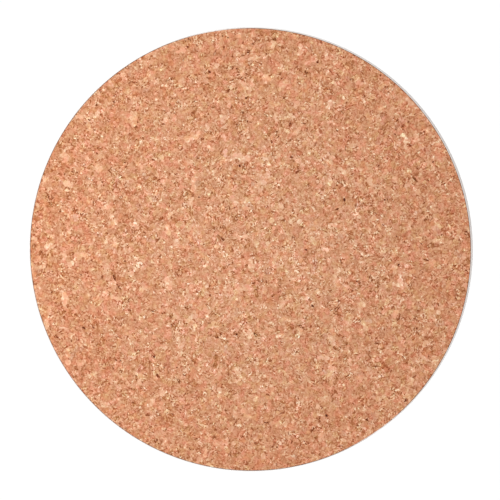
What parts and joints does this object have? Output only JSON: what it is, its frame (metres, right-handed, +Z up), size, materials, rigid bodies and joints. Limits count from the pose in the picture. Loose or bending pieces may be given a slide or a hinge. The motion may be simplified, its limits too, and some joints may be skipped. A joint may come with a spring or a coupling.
{
  "type": "bulletin board",
  "caption": "Round cork bulletin board: cork sheet on a softboard core with a banded edge, a hardboard back, rubber bumpers and a swinging D-ring hanger.",
  "frame": {"origin": "centre of the cork's front face", "axes": "+Z is up as the board hangs, the cork faces -Y, and the back with its hanger faces +Y"},
  "size_m": [0.4, 0.0214, 0.4],
  "materials": {
    "cork": "matte",
    "softboard": "matte",
    "hardboard": "matte",
    "block_wood": "matte",
    "band_plastic": "satin",
    "zinc_steel": "satin",
    "bumper_rubber": "matte"
  },
  "bodies": {
    "board": {"cork_face": "cork", "core_board": "softboard", "back_panel": "hardboard", "fixing_block": "block_wood", "edge_band": "band_plastic", "hanger_strap": "zinc_steel", "hanger_screw_upper": "zinc_steel", "hanger_screw_lower": "zinc_steel", "wall_bumper_1": "bumper_rubber", "wall_bumper_2": "bumper_rubber", "wall_bumper_3": "bumper_rubber", "wall_bumper_4": "bumper_rubber"},
    "ring": {"hanger_ring": "zinc_steel"}
  },
  "joints": [
    {"name": "ring_swing", "type": "hinge", "parent": "board", "child": "ring", "pos_m": [0, 0.01845, 0.155], "axis": [1, 0, 0], "range_deg": [0, 180]}
  ]
}
